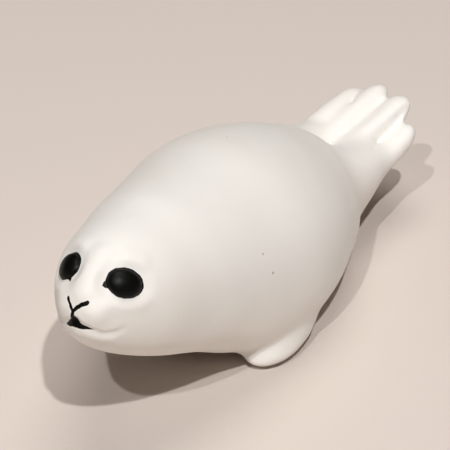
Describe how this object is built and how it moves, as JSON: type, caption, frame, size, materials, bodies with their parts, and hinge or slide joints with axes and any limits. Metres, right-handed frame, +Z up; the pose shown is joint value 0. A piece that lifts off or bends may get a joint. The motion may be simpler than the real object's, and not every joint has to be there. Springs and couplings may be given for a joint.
{
  "type": "seal figurine",
  "caption": "Small figure of a white seal pup lying flat on its belly, with black painted eyes, nose and mouth and fanned hind flippers lifted clear of the ground",
  "frame": {"origin": "middle of the bounding box seen from above, at the height of the ground the belly rests on", "axes": "-Y is the way the snout points, +X is the seal's left, +Z is up"},
  "size_m": [0.0287, 0.0741, 0.0281],
  "materials": {
    "white_plastic": "satin warm white, with black paint on the eyes, nose and mouth"
  },
  "bodies": {
    "root": {"seal_body": "white_plastic"}
  },
  "joints": []
}
